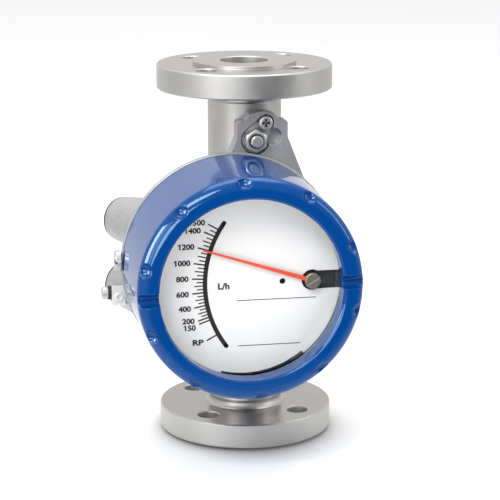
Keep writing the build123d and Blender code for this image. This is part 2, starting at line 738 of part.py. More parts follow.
# Rear housing: one casting with the cup, both bracket arms, the cable-entry bosses, and the seats
# of the lock screw and of the earth terminal
with BuildPart() as rear_housing:
    # Cable-entry bosses, cut off level with the back of the rim
    for dz in (entry_dz, -entry_dz):
        with BuildSketch(entry_plane(dz, 0)):
            Circle(entry_boss_d / 2)
        extrude(amount=entry_boss_len, taper=-entry_draft_deg)
    boss_ends = edges().filter_by(GeomType.CIRCLE).filter_by(
        lambda edge: abs(edge.radius - entry_boss_d / 2) < 0.001
    )
    fillet(boss_ends, radius=entry_edge_r)
    with BuildSketch(on_indicator(rim_back_y)):
        Circle(housing_rim_d / 2)
    extrude(amount=entry_boss_len, mode=Mode.SUBTRACT)

    # Cup with its rim and the spigot that the cover screws on
    with BuildSketch(indicator_section):
        with BuildLine():
            Polyline(
                (0, housing_back_y),
                (housing_d / 2, housing_back_y),
                (housing_d / 2, rim_back_y),
                (housing_rim_d / 2, rim_back_y),
                (housing_rim_d / 2, housing_front_face_y + rim_edge),
                (housing_rim_d / 2 - rim_edge, housing_front_face_y),
                (spigot_d / 2, housing_front_face_y),
                (spigot_d / 2, oring_y + oring_groove_w / 2),
                (groove_floor_r, oring_y + oring_groove_w / 2),
                (groove_floor_r, oring_y - oring_groove_w / 2),
                (spigot_d / 2, oring_y - oring_groove_w / 2),
                (spigot_d / 2, housing_front_y),
                (0, housing_front_y),
                close=True,
            )
        make_face()
    revolve(axis=indicator_axis)
    cup_edge = edges().filter_by(GeomType.CIRCLE).filter_by(
        lambda edge: abs(edge.radius - housing_d / 2) < 0.001
    )
    fillet(cup_edge.sort_by(Axis.Y)[-1], radius=housing_edge_r)

    # Upper arm with its shouldered crown
    with BuildSketch(facing(arm_back_y)):
        with BuildLine():
            outline = Polyline(
                (arm_x - arm_top_half_w, arm_crown_z),
                (arm_x - arm_crown_half_w, arm_shoulder_z),
                (arm_x - arm_half_w, arm_shoulder_z),
                (arm_x - arm_half_w, arm_knee_z),
                (arm_x - arm_foot_half_w, arm_foot_z),
                (arm_x + arm_foot_half_w, arm_foot_z),
                (arm_x + arm_half_w, arm_knee_z),
                (arm_x + arm_half_w, arm_shoulder_z),
                (arm_x + arm_crown_half_w, arm_shoulder_z),
                (arm_x + arm_top_half_w, arm_crown_z),
            )
            ThreePointArc(outline @ 1, (arm_x, arm_top_z), outline @ 0)
        make_face()
        shoulder = vertices().filter_by_position(
            Axis.Y, arm_shoulder_z - 0.001, arm_shoulder_z + 0.001
        )
        fillet(shoulder.sort_by(Axis.X)[0::3], radius=arm_corner)
    extrude(amount=arm_t)

    # Lower arm: a tongue around the lower stud
    with BuildSketch(facing(arm_back_y)):
        with Locations((0, lower_stud_z)):
            Circle(lower_arm_r)
        with Locations((0, lower_arm_root_z)):
            Rectangle(lower_arm_root_w, lower_arm_root_h)
        make_hull()
    extrude(amount=arm_t)

    # Seats of the lock screw and of the earth terminal
    with BuildSketch(facing_left(lock_head_x, lock_y, lock_z)):
        Rectangle(lock_lug_y, lock_lug_w)
    extrude(amount=-lock_shank_len)
    with BuildSketch(facing(earth_front_y)):
        with Locations((earth_x, earth_z)):
            Rectangle(earth_pad_x, earth_pad_z)
    extrude(amount=-earth_pad_y)
    with BuildSketch(facing(earth_front_y)):
        with Locations((earth_x, earth_z)):
            Rectangle(earth_plate_w + 2 * seat_gap, earth_plate_h + 2 * seat_gap)
    extrude(amount=earth_front_y - rim_back_y, mode=Mode.SUBTRACT)

    # Cavity, with three low bosses for the movement
    with BuildSketch(on_indicator(cavity_floor_y)):
        Circle(cavity_d / 2)
    extrude(amount=cavity_floor_y - housing_front_y, mode=Mode.SUBTRACT)
    with BuildSketch(on_indicator(cavity_floor_y)):
        with PolarLocations(boss_circle_d / 2, boss_count, start_angle=boss_start_deg):
            Circle(boss_d / 2)
    extrude(amount=cavity_floor_y - base_y)
    with BuildSketch(on_indicator(base_y)):
        with PolarLocations(boss_circle_d / 2, boss_count, start_angle=boss_start_deg):
            Circle(base_screw_d / 2 + thread_gap)
    extrude(amount=-boss_hole_depth, mode=Mode.SUBTRACT)
    for dz in (entry_dz, -entry_dz):
        with BuildSketch(entry_plane(dz, 0)):
            Circle(entry_bore_d / 2)
        extrude(amount=entry_bore_len, mode=Mode.SUBTRACT)

    # Trefoil pocket of the upper arm, round pocket of the lower one, and the bracket holes
    with BuildSketch(facing(pocket_floor_y)):
        with Locations((0, upper_stud_z)):
            Circle(pocket_stud_r)
        with Locations((clamp_screw_x, clamp_screw_z)):
            Circle(pocket_screw_r)
        make_hull()
        with Locations((pocket_spare_x, upper_stud_z + pocket_spare_dz)):
            Circle(pocket_spare_r)
        with Locations((0, lower_stud_z)):
            Circle(pocket_stud_r)
    extrude(amount=pocket_depth, mode=Mode.SUBTRACT)
    with BuildSketch(facing(arm_back_y)):
        with Locations((0, upper_stud_z), (0, lower_stud_z)):
            Circle(stud_hole_d / 2)
        with Locations((clamp_screw_x, clamp_screw_z)):
            Circle(clamp_shank_d / 2 + thread_gap)
    extrude(amount=arm_t, mode=Mode.SUBTRACT)

    # Threaded holes of the lock screw, the earth bolt and the earth screw
    with BuildSketch(facing_left(lock_head_x, lock_y, lock_z)):
        Circle(lock_shank_d / 2 + thread_gap)
    extrude(amount=-lock_shank_len, mode=Mode.SUBTRACT)
    with BuildSketch(facing_left(earth_left_x, earth_bolt_y, earth_z)):
        Circle(earth_bolt_shank_d / 2 + thread_gap)
    extrude(amount=-earth_bolt_depth, mode=Mode.SUBTRACT)
    with BuildSketch(facing(earth_front_y)):
        with Locations((earth_x, earth_z)):
            Circle(earth_screw_shank_d / 2 + thread_gap)
    extrude(amount=-earth_screw_depth, mode=Mode.SUBTRACT)
rear_housing.part.label = "rear_housing"
export_step(rear_housing.part, "parts/rear_housing.step")

# Cable-entry seals between the bosses and the plugs
with BuildPart() as entry_seals:
    for dz in (entry_dz, -entry_dz):
        with BuildSketch(entry_plane(dz, 0)):
            Circle(seal_d / 2)
            Circle(entry_bore_d / 2, mode=Mode.SUBTRACT)
        extrude(amount=-seal_t)
entry_seals.part.label = "entry_seals"
export_step(entry_seals.part, "parts/entry_seals.step")

# Blind plugs of the cable entries
with BuildPart() as entry_plugs:
    for dz in (entry_dz, -entry_dz):
        with BuildSketch(entry_plane(dz, -seal_t)):
            Circle(entry_bore_d / 2 - plug_gap)
        extrude(amount=seal_t + plug_shank_len)
        with BuildSketch(entry_plane(dz, -seal_t)):
            Circle(plug_flange_d / 2)
        extrude(amount=-plug_flange_t)
        with BuildSketch(entry_plane(dz, -seal_t - plug_flange_t)):
            RegularPolygon(plug_socket / 2, 6, major_radius=False)
        extrude(amount=plug_socket_depth, mode=Mode.SUBTRACT)
entry_plugs.part.label = "entry_plugs"
export_step(entry_plugs.part, "parts/entry_plugs.step")

# Cover lock screw: a slotted cheese head on the left of the rim
with BuildPart() as cover_lock_screw:
    with BuildSketch(facing_left(lock_head_x, lock_y, lock_z)):
        Circle(lock_head_d / 2)
    extrude(amount=lock_head_t)
    fillet(edges().filter_by(GeomType.CIRCLE).sort_by(Axis.X)[0], radius=lock_edge_r)
    with BuildSketch(facing_left(lock_head_x - lock_head_t, lock_y, lock_z)):
        Rectangle(lock_head_d, lock_slot_w)
    extrude(amount=-lock_slot_depth, mode=Mode.SUBTRACT)
    with BuildSketch(facing_left(lock_head_x, lock_y, lock_z)):
        Circle(lock_shank_d / 2)
    extrude(amount=-lock_shank_len)
cover_lock_screw.part.label = "cover_lock_screw"
export_step(cover_lock_screw.part, "parts/cover_lock_screw.step")

# Earth terminal: a clamp plate with its screw on the front of the pad
with BuildPart() as earth_plate:
    with BuildSketch(facing(earth_front_y)):
        with Locations((earth_x, earth_z)):
            Rectangle(earth_plate_w, earth_plate_h)
            Circle(earth_screw_shank_d / 2 + screw_gap, mode=Mode.SUBTRACT)
    extrude(amount=earth_plate_t)
earth_plate.part.label = "earth_plate"
export_step(earth_plate.part, "parts/earth_plate.step")

earth_plate_front_y = earth_front_y - earth_plate_t
earth_screw_front_y = earth_plate_front_y - earth_screw_head_t
with BuildPart() as earth_screw:
    with BuildSketch(facing(earth_plate_front_y)):
        with Locations((earth_x, earth_z)):
            Circle(earth_screw_head_d / 2)
    extrude(amount=earth_screw_head_t)
    head_edge = edges().filter_by(GeomType.CIRCLE).sort_by(Axis.Y)[0]
    fillet(head_edge, radius=earth_screw_head_t / 3)
    cross_recess(
        earth_screw_front_y, earth_x, earth_z, earth_screw_head_d, earth_screw_head_t / 2
    )
    with BuildSketch(facing(earth_plate_front_y)):
        with Locations((earth_x, earth_z)):
            Circle(earth_screw_shank_d / 2)
    extrude(amount=-earth_plate_t - earth_screw_depth)
earth_screw.part.label = "earth_screw"
export_step(earth_screw.part, "parts/earth_screw.step")

# Earth washer and socket-head bolt on the pad's left face
with BuildPart() as earth_washer:
    with BuildSketch(facing_left(earth_left_x, earth_bolt_y, earth_z)):
        Circle(earth_washer_d / 2)
        Circle(earth_bolt_shank_d / 2 + screw_gap, mode=Mode.SUBTRACT)
    extrude(amount=earth_washer_t)
earth_washer.part.label = "earth_washer"
export_step(earth_washer.part, "parts/earth_washer.step")

earth_head_x = earth_left_x - earth_washer_t
with BuildPart() as earth_bolt:
    with BuildSketch(facing_left(earth_head_x, earth_bolt_y, earth_z)):
        Circle(earth_bolt_head_d / 2)
    extrude(amount=earth_bolt_head_t)
    chamfer(edges().filter_by(GeomType.CIRCLE).sort_by(Axis.X)[0], length=hole_chamfer)
    with BuildSketch(facing_left(earth_head_x - earth_bolt_head_t, earth_bolt_y, earth_z)):
        RegularPolygon(earth_bolt_socket / 2, 6, major_radius=False)
    extrude(amount=-earth_bolt_socket_depth, mode=Mode.SUBTRACT)
    with BuildSketch(facing_left(earth_head_x, earth_bolt_y, earth_z)):
        Circle(earth_bolt_shank_d / 2)
    extrude(amount=-earth_washer_t - earth_bolt_depth)
earth_bolt.part.label = "earth_bolt"
export_step(earth_bolt.part, "parts/earth_bolt.step")

# Cover O-ring, seated on the floor of its groove
with BuildPart() as cover_oring:
    with BuildSketch(indicator_section):
        with Locations((groove_floor_r + oring_d / 2, oring_y)):
            Circle(oring_d / 2)
    revolve(axis=indicator_axis)
cover_oring.part.label = "cover_oring"
export_step(cover_oring.part, "parts/cover_oring.step")

# Front cover: slightly tapered outside, a rounded front edge, an inward lip, and a stepped bore
notch_axis_y = cover_front_y - (notch_r - notch_depth)
dimple_tilt = math.radians(dimple_tilt_deg)
dimple_lift = cover_edge_r + dimple_r - dimple_depth
dimple_centre_r = cover_front_d / 2 - cover_edge_r + dimple_lift * math.sin(dimple_tilt)
dimple_centre_y = cover_front_y + cover_edge_r - dimple_lift * math.cos(dimple_tilt)
dimple_pitch_deg = 360 / dimple_count
with BuildPart() as front_cover:
    with BuildSketch(indicator_section):
        with BuildLine():
            Polyline(
                (cover_bore_d / 2, cover_back_y),
                (cover_back_d / 2, cover_back_y),
                (cover_front_d / 2, cover_front_y),
                (cover_lip_d / 2, cover_front_y),
                (cover_lip_d / 2, cover_lip_back_y),
                (window_bore_d / 2, cover_lip_back_y),
                (window_bore_d / 2, window_bore_back_y),
                (cover_bore_d / 2, window_bore_back_y),
                close=True,
            )
        make_face()
    revolve(axis=indicator_axis)
    front_edges = edges_at(Axis.Y, cover_front_y)
    fillet(front_edges.sort_by(SortBy.RADIUS)[-1], radius=cover_edge_r)
    fillet(front_edges.sort_by(SortBy.RADIUS)[0], radius=cover_lip_r)

    # Spanner notches across the lip, left and right
    notch_turn = math.radians(notch_turn_deg)
    notch_plane = Plane(
        origin=(indicator_x, notch_axis_y, indicator_z),
        x_dir=(0, 1, 0),
        z_dir=(math.cos(notch_turn), 0, math.sin(notch_turn)),
    )
    with BuildSketch(notch_plane):
        Circle(notch_r)
    extrude(amount=cover_front_d, both=True, mode=Mode.SUBTRACT)

    # Grip dimples on the rounded edge, between the notches
    with Locations(on_indicator(dimple_centre_y)):
        with PolarLocations(
            dimple_centre_r, dimple_count, start_angle=dimple_turn_deg + dimple_pitch_deg / 2
        ):
            Sphere(dimple_r, rotation=(90, 0, 0), mode=Mode.SUBTRACT)
front_cover.part.label = "front_cover"
export_step(front_cover.part, "parts/front_cover.step")

# Window: gasket against the lip, glass, and the ring behind it
window_r = window_bore_d / 2 - window_gap
with BuildPart() as window_gasket:
    with BuildSketch(on_indicator(glass_front_y)):
        Circle(window_r)
        Circle(gasket_in_d / 2, mode=Mode.SUBTRACT)
    extrude(amount=gasket_t)
window_gasket.part.label = "window_gasket"
export_step(window_gasket.part, "parts/window_gasket.step")

with BuildPart() as window_glass:
    with BuildSketch(on_indicator(glass_back_y)):
        Circle(window_r)
    extrude(amount=glass_t)
window_glass.part.label = "window_glass"
export_step(window_glass.part, "parts/window_glass.step")

with BuildPart() as window_ring:
    with BuildSketch(on_indicator(glass_back_y)):
        Circle(window_r)
        Circle(window_ring_in_d / 2, mode=Mode.SUBTRACT)
    extrude(amount=-window_ring_t)
window_ring.part.label = "window_ring"
export_step(window_ring.part, "parts/window_ring.step")

# Movement base: a plate on the housing's bosses, cut out in front of the cable entries
entry_reach = (entry_y - (base_y - base_t / 2)) / math.sin(math.radians(entry_turn_deg))
entry_cutout_x = entry_x + entry_reach * math.cos(math.radians(entry_turn_deg)) - indicator_x
with BuildPart() as movement_base:
    with BuildSketch(on_indicator(base_y)):
        Circle(base_d / 2)
        with PolarLocations(boss_circle_d / 2, boss_count, start_angle=boss_start_deg):
            Circle(base_screw_d / 2 + screw_gap, mode=Mode.SUBTRACT)
        with Locations((entry_cutout_x, entry_dz), (entry_cutout_x, -entry_dz)):
            Circle(entry_cutout_d / 2, mode=Mode.SUBTRACT)
        with Locations((pivot_dx, 0)):
            Circle(bush_d / 2, mode=Mode.SUBTRACT)
    extrude(amount=base_t)
movement_base.part.label = "movement_base"
export_step(movement_base.part, "parts/movement_base.step")

with BuildPart() as base_screws:
    with BuildSketch(on_indicator(base_front_y)):
        with PolarLocations(boss_circle_d / 2, boss_count, start_angle=boss_start_deg):
            Circle(base_screw_head_d / 2)
    extrude(amount=base_screw_head_t)
    with BuildSketch(on_indicator(base_front_y)):
        with PolarLocations(boss_circle_d / 2, boss_count, start_angle=boss_start_deg):
            Circle(base_screw_d / 2)
    extrude(amount=-base_t - base_screw_len)
base_screws.part.label = "base_screws"
export_step(base_screws.part, "parts/base_screws.step")

with BuildPart() as movement_pillars:
    with BuildSketch(on_indicator(base_front_y)):
        with PolarLocations(
            pillar_circle_d / 2, pillar_count, start_angle=180 / pillar_count
        ):
            Circle(pillar_d / 2)
    extrude(amount=base_front_y - bridge_back_y)
movement_pillars.part.label = "movement_pillars"
export_step(movement_pillars.part, "parts/movement_pillars.step")

# Front bridge: a dark disc on the pillars, whose raised rim carries the scale plate
with BuildPart() as front_bridge:
    with BuildSketch(on_indicator(bridge_back_y)):
        Circle(bridge_d / 2)
        with Locations((pivot_dx, 0)):
            Circle(bush_d / 2, mode=Mode.SUBTRACT)
    extrude(amount=bridge_t)
    with BuildSketch(on_indicator(bridge_front_y)):
        Circle(bridge_d / 2)
        Circle(bridge_d / 2 - bridge_rim_w, mode=Mode.SUBTRACT)
    extrude(amount=bridge_front_y - dial_back_y)
front_bridge.part.label = "front_bridge"
export_step(front_bridge.part, "parts/front_bridge.step")

# Shaft bushes: flanged sleeves pressed into the base and into the bridge
with BuildPart() as shaft_bushes:
    with BuildSketch(on_pivot(base_y + bush_over)):
        Circle(bush_d / 2)
    extrude(amount=base_t + bush_over)
    with BuildSketch(on_pivot(base_front_y)):
        Circle(bush_flange_d / 2)
    extrude(amount=bush_flange_t)
    with BuildSketch(on_pivot(bridge_back_y)):
        Circle(bush_d / 2)
    extrude(amount=bridge_t + bush_over)
    with BuildSketch(on_pivot(bridge_back_y)):
        Circle(bush_flange_d / 2)
    extrude(amount=-bush_flange_t)
    with BuildSketch(on_pivot(base_y + bush_over)):
        Circle(shaft_d / 2 + shaft_running_gap)
    extrude(amount=base_y + bush_over - pointer_back_y, mode=Mode.SUBTRACT)
shaft_bushes.part.label = "shaft_bushes"
export_step(shaft_bushes.part, "parts/shaft_bushes.step")


def recess_point(turn_deg, r):
    """Point of the scale plate at this angle and radius from the indicator's axis."""
    turn = math.radians(turn_deg)
    return (r * math.cos(turn), r * math.sin(turn))


# Scale plate: a disc with an open slot around the hub, a small hole and a recess in its lower edge
recess_mid_deg = (recess_start_deg + recess_end_deg) / 2
with BuildPart() as scale_plate:
    with BuildSketch(on_indicator(dial_back_y)):
        Circle(dial_d / 2)
        with Locations((pivot_dx + dial_d / 4, 0)):
            Rectangle(dial_d / 2, dial_slot_w, mode=Mode.SUBTRACT)
        with Locations((pivot_dx, 0)):
            Circle(dial_slot_r, mode=Mode.SUBTRACT)
        with Locations((pivot_dx + dial_dot_x, 0)):
            Circle(dial_dot_d / 2, mode=Mode.SUBTRACT)
        with BuildLine():
            inner = ThreePointArc(
                recess_point(recess_start_deg, recess_start_r),
                recess_point(recess_mid_deg, (recess_start_r + recess_end_r) / 2),
                recess_point(recess_end_deg, recess_end_r),
            )
            outer = ThreePointArc(
                recess_point(recess_start_deg, dial_d / 2 + 1),
                recess_point(recess_mid_deg, dial_d / 2 + 1),
                recess_point(recess_end_deg, dial_d / 2 + 1),
            )
            Line(inner @ 0, outer @ 0)
            Line(inner @ 1, outer @ 1)
        make_face(mode=Mode.SUBTRACT)
    extrude(amount=dial_t)
scale_plate.part.label = "scale_plate"
export_step(scale_plate.part, "parts/scale_plate.step")

# Pointer shaft, from the rear bush to the hub
with BuildPart() as pointer_shaft:
    with BuildSketch(on_pivot(base_y + bush_over)):
        Circle(shaft_d / 2)
    extrude(amount=base_y + bush_over - pointer_front_y)
pointer_shaft.part.label = "pointer_shaft"
export_step(pointer_shaft.part, "parts/pointer_shaft.step")

# Pointer: a tapered blade with an eye on the shaft
with BuildPart() as pointer:
    with BuildSketch(on_pivot(pointer_back_y, reading_deg)):
        with BuildLine():
            Polyline(
                (0, pointer_root_w / 2),
                (-pointer_len, pointer_tip_w / 2),
                (-pointer_len, -pointer_tip_w / 2),
                (0, -pointer_root_w / 2),
                close=True,
            )
        make_face()
        Circle(pointer_eye_d / 2)
        Circle(shaft_d / 2, mode=Mode.SUBTRACT)
    extrude(amount=pointer_t)
pointer.part.label = "pointer"
export_step(pointer.part, "parts/pointer.step")

# Pointer hub: a slotted cap on the end of the shaft
with BuildPart() as pointer_hub:
    with BuildSketch(on_pivot(pointer_front_y)):
        Circle(hub_d / 2)
    extrude(amount=hub_t)
    chamfer(edges().filter_by(GeomType.CIRCLE).sort_by(Axis.Y)[0], length=hub_t / 4)
    with BuildSketch(on_pivot(hub_front_y, -hub_slot_deg)):
        Rectangle(hub_d, hub_slot_w)
    extrude(amount=-hub_slot_depth, mode=Mode.SUBTRACT)
pointer_hub.part.label = "pointer_hub"
export_step(pointer_hub.part, "parts/pointer_hub.step")

# Follower arm on the shaft, in front of the tube
with BuildPart() as follower_arm:
    with BuildSketch(on_pivot(follower_y, reading_deg)):
        with Locations(((balance_r - follower_r) / 2, 0)):
            SlotCenterToCenter(balance_r + follower_r, follower_w)
        Circle(pointer_eye_d / 2)
        Circle(shaft_d / 2, mode=Mode.SUBTRACT)
    extrude(amount=follower_t)
follower_arm.part.label = "follower_arm"
export_step(follower_arm.part, "parts/follower_arm.step")

# Follower magnet behind the arm's far end, and the balance weight behind its short end
with BuildPart() as follower_magnet:
    with BuildSketch(on_pivot(follower_y, reading_deg)):
        with Locations((-follower_r, 0)):
            Circle(follower_magnet_d / 2)
    extrude(amount=-follower_magnet_t)
follower_magnet.part.label = "follower_magnet"
export_step(follower_magnet.part, "parts/follower_magnet.step")

with BuildPart() as balance_weight:
    with BuildSketch(on_pivot(follower_y, reading_deg)):
        with Locations((balance_r, 0)):
            Circle(balance_d / 2)
    extrude(amount=-balance_t)
balance_weight.part.label = "balance_weight"
export_step(balance_weight.part, "parts/balance_weight.step")
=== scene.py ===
import json
import math

import bmesh
import bpy
from mathutils import Matrix, Vector


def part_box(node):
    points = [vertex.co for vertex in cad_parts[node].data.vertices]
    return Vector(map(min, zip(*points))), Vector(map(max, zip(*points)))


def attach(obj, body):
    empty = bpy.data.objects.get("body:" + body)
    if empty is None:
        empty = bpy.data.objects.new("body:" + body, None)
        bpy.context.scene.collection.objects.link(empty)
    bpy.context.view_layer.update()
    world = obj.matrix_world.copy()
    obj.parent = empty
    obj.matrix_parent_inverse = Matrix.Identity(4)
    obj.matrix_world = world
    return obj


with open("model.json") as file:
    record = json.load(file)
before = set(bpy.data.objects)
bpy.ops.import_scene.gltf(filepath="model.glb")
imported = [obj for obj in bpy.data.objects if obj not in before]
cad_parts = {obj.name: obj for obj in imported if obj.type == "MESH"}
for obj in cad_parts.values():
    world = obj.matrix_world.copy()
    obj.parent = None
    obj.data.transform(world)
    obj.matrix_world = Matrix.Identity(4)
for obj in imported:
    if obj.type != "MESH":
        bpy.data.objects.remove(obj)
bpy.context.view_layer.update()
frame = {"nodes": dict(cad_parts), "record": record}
nodes = frame["nodes"]
MM = 0.001

# Places taken from the frame
plate_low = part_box("scale_plate")[0]
shaft_low, shaft_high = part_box("pointer_shaft")
pivot = (shaft_low + shaft_high) / 2
dial_y = plate_low.y - 0.05 * MM


def add(tree, kind, values=None, **settings):
    """Adds a shader node, sets its settings, and fills or links its sockets."""
    made = tree.nodes.new(kind)
    for key, value in settings.items():
        setattr(made, key, value)
    for socket, value in (values or {}).items():
        if isinstance(value, bpy.types.NodeSocket):
            tree.links.new(value, made.inputs[socket])
        else:
            made.inputs[socket].default_value = value
    return made


def new_material(name):
    material = bpy.data.materials.new(name)
    material.use_nodes = True
    tree = material.node_tree
    tree.nodes.clear()
    return material, tree


def close_material(tree, shader):
    add(tree, "ShaderNodeOutputMaterial", {"Surface": shader.outputs[0]})


def place(tree):
    return add(tree, "ShaderNodeTexCoord").outputs["Object"]


def noise(tree, scale, detail=3.0, rough=0.55):
    return add(
        tree,
        "ShaderNodeTexNoise",
        {"Vector": place(tree), "Scale": scale, "Detail": detail, "Roughness": rough},
    ).outputs["Fac"]


def spread(tree, value, low, high, from_low=0.3, from_high=0.7):
    """Maps a value from one range to another and holds it there. A noise runs from 0.3 to 0.7."""
    sockets = {
        "Value": value,
        "From Min": from_low,
        "From Max": from_high,
        "To Min": low,
        "To Max": high,
    }
    return add(tree, "ShaderNodeMapRange", sockets).outputs["Result"]


def mix_colour(tree, factor, first, second):
    mixer = add(tree, "ShaderNodeMix", data_type="RGBA")
    for socket, value in ((0, factor), (6, first), (7, second)):
        if isinstance(value, bpy.types.NodeSocket):
            tree.links.new(value, mixer.inputs[socket])
        else:
            mixer.inputs[socket].default_value = value
    return mixer.outputs[2]


def mix_vector(tree, factor, first, second):
    mixer = add(tree, "ShaderNodeMix", data_type="VECTOR")
    for socket, value in ((0, factor), (4, first), (5, second)):
        tree.links.new(value, mixer.inputs[socket])
    return mixer.outputs[1]


def bump(tree, height, depth, strength=1.0):
    return add(
        tree, "ShaderNodeBump", {"Height": height, "Distance": depth, "Strength": strength}
    ).outputs["Normal"]


def bump_on_soft_edges(tree, height, depth, strength, edge_radius):
    """The same relief over edges that catch the light as if broken by a small radius."""
    soft_edges = add(tree, "ShaderNodeBevel", {"Radius": edge_radius}, samples=6).outputs["Normal"]
    return add(
        tree,
        "ShaderNodeBump",
        {"Height": height, "Distance": depth, "Strength": strength, "Normal": soft_edges},
    ).outputs["Normal"]


def shade(colour, factor):
    return (colour[0] * factor, colour[1] * factor, colour[2] * factor, 1.0)


def open_share(tree, reach):
    """The share of the sky over a point that nothing covers within this reach."""
    return add(tree, "ShaderNodeAmbientOcclusion", {"Distance": reach}, samples=8).outputs["AO"]


def open_ground(tree, reach):
    """One on open faces, nought deep in a recess or a narrow gap."""
    return spread(tree, open_share(tree, reach), 0.0, 1.0, 0.35, 0.75)


def facing_up(tree):
    """One where a face looks up or down, nought where it stands upright."""
    normal = add(tree, "ShaderNodeNewGeometry").outputs["Normal"]
    upward = add(tree, "ShaderNodeSeparateXYZ", {"Vector": normal}).outputs["Z"]
    size = add(tree, "ShaderNodeMath", {0: upward}, operation="ABSOLUTE").outputs[0]
    return spread(tree, size, 0.0, 1.0, 0.75, 0.9)


def turned_and_blasted():
    """Stainless steel with bead-blasted rims and turned flat faces."""
    material, tree = new_material("stainless_steel")
    blasted_tone = (0.62, 0.612, 0.597)
    turned_tone = (0.43, 0.415, 0.40)
    clouds = noise(tree, 35.0)
    cloudiness = spread(tree, clouds, 0.0, 1.0)
    flat = facing_up(tree)
    blasted = mix_colour(tree, cloudiness, shade(blasted_tone, 0.94), shade(blasted_tone, 1.05))
    turned = mix_colour(tree, cloudiness, shade(turned_tone, 0.96), shade(turned_tone, 1.04))
    colour = mix_colour(tree, flat, blasted, turned)
    blast = noise(tree, 800.0, 4.0, 0.7)
    rings = add(
        tree,
        "ShaderNodeTexWave",
        {"Vector": place(tree), "Scale": 260.0, "Distortion": 0.4, "Detail": 1.0},
        wave_type="RINGS",
        rings_direction="Z",
    ).outputs["Fac"]
    blasted_normal = bump_on_soft_edges(tree, blast, 0.05 * MM, 0.45, 0.6 * MM)
    turned_normal = bump_on_soft_edges(tree, rings, 0.01 * MM, 0.15, 0.6 * MM)
    normal = mix_vector(tree, flat, blasted_normal, turned_normal)
    rough = add(
        tree,
        "ShaderNodeMix",
        {0: flat, 2: spread(tree, clouds, 0.42, 0.50), 3: spread(tree, clouds, 0.24, 0.29)},
        data_type="FLOAT",
    ).outputs[0]
    shader = add(
        tree,
        "ShaderNodeBsdfPrincipled",
        {"Base Color": colour, "Metallic": 1.0, "Roughness": rough, "Normal": normal},
    )
    close_material(tree, shader)
    return material


def plain_metal(
    name, tone, low_rough, high_rough, grain=1800.0, depth=0.01 * MM, metallic=1.0, shade_reach=0.0
):
    """A plain metal with faint clouds in its colour and gloss, and a fine grain.

    Where it has a reach for painted shade, shade is painted dark into its recesses and narrow
    gaps.
    """
    material, tree = new_material(name)
    clouds = noise(tree, 90.0)
    colour = mix_colour(tree, spread(tree, clouds, 0.0, 1.0), shade(tone, 0.9), shade(tone, 1.06))
    # Painted shade: recesses and narrow gaps within the reach are painted nearly black, standing
    # in for shade.
    if shade_reach:
        colour = mix_colour(tree, open_ground(tree, shade_reach), shade(tone, 0.08), colour)
    shader = add(
        tree,
        "ShaderNodeBsdfPrincipled",
        {
            "Base Color": colour,
            "Metallic": metallic,
            "Roughness": spread(tree, clouds, low_rough, high_rough),
            "Normal": bump_on_soft_edges(tree, noise(tree, grain, 2.0), depth, 0.5, 0.3 * MM),
        },
    )
    close_material(tree, shader)
    return material


def coated_casting(name, tone, low_rough, high_rough, depth):
    """Die-cast aluminium under a thin grey coat."""
    material, tree = new_material(name)
    clouds = noise(tree, 40.0)
    sand = noise(tree, 700.0, 4.0, 0.7)
    light = mix_colour(tree, spread(tree, clouds, 0.0, 1.0), shade(tone, 0.97), shade(tone, 1.12))
    dark = mix_colour(tree, spread(tree, clouds, 0.0, 1.0), shade(tone, 0.78), shade(tone, 0.9))
    colour = mix_colour(tree, spread(tree, sand, 0.0, 1.0, 0.38, 0.62), dark, light)
    shader = add(
        tree,
        "ShaderNodeBsdfPrincipled",
        {
            "Base Color": colour,
            "Metallic": 0.55,
            "Roughness": spread(tree, clouds, low_rough, high_rough),
            "Normal": bump_on_soft_edges(tree, sand, depth, 0.9, 0.8 * MM),
        },
    )
    close_material(tree, shader)
    return material


def blue_enamel():
    """Deep blue gloss with a faint orange-peel surface."""
    material, tree = new_material("blue_enamel")
    clouds = noise(tree, 25.0)
    tone = (0.0, 0.042, 0.200)
    colour = mix_colour(tree, spread(tree, clouds, 0.0, 1.0), shade(tone, 0.97), shade(tone, 1.03))
    orange_peel = bump_on_soft_edges(tree, noise(tree, 260.0, 1.0), 0.01 * MM, 0.3, 0.7 * MM)
    shader = add(
        tree,
        "ShaderNodeBsdfPrincipled",
        {
            "Base Color": colour,
            "Roughness": spread(tree, clouds, 0.05, 0.08),
            "IOR": 1.54,
            "Specular Tint": (0.6, 0.88, 1.0, 1.0),
            "Normal": orange_peel,
        },
    )
    close_material(tree, shader)
    return material


def rubber():
    material, tree = new_material("black_rubber")
    grain = noise(tree, 1400.0)
    tone = (0.018, 0.018, 0.019)
    colour = mix_colour(tree, spread(tree, grain, 0.0, 1.0), shade(tone, 0.8), shade(tone, 1.3))
    shader = add(
        tree,
        "ShaderNodeBsdfPrincipled",
        {
            "Base Color": colour,
            "Roughness": spread(tree, grain, 0.5, 0.65),
            "Normal": bump(tree, grain, 0.02 * MM, 0.5),
        },
    )
    close_material(tree, shader)
    return material


def matt_paint(name, tone, low_rough, high_rough, change=0.03):
    """Paint or plastic with a fine texture."""
    material, tree = new_material(name)
    clouds = noise(tree, 60.0)
    colour = mix_colour(
        tree, spread(tree, clouds, 0.0, 1.0), shade(tone, 1.0 - change), shade(tone, 1.0 + change)
    )
    shader = add(
        tree,
        "ShaderNodeBsdfPrincipled",
        {
            "Base Color": colour,
            "Roughness": spread(tree, clouds, low_rough, high_rough),
            "Normal": bump(tree, noise(tree, 2000.0, 2.0), 0.005 * MM, 0.4),
        },
    )
    close_material(tree, shader)
    return material


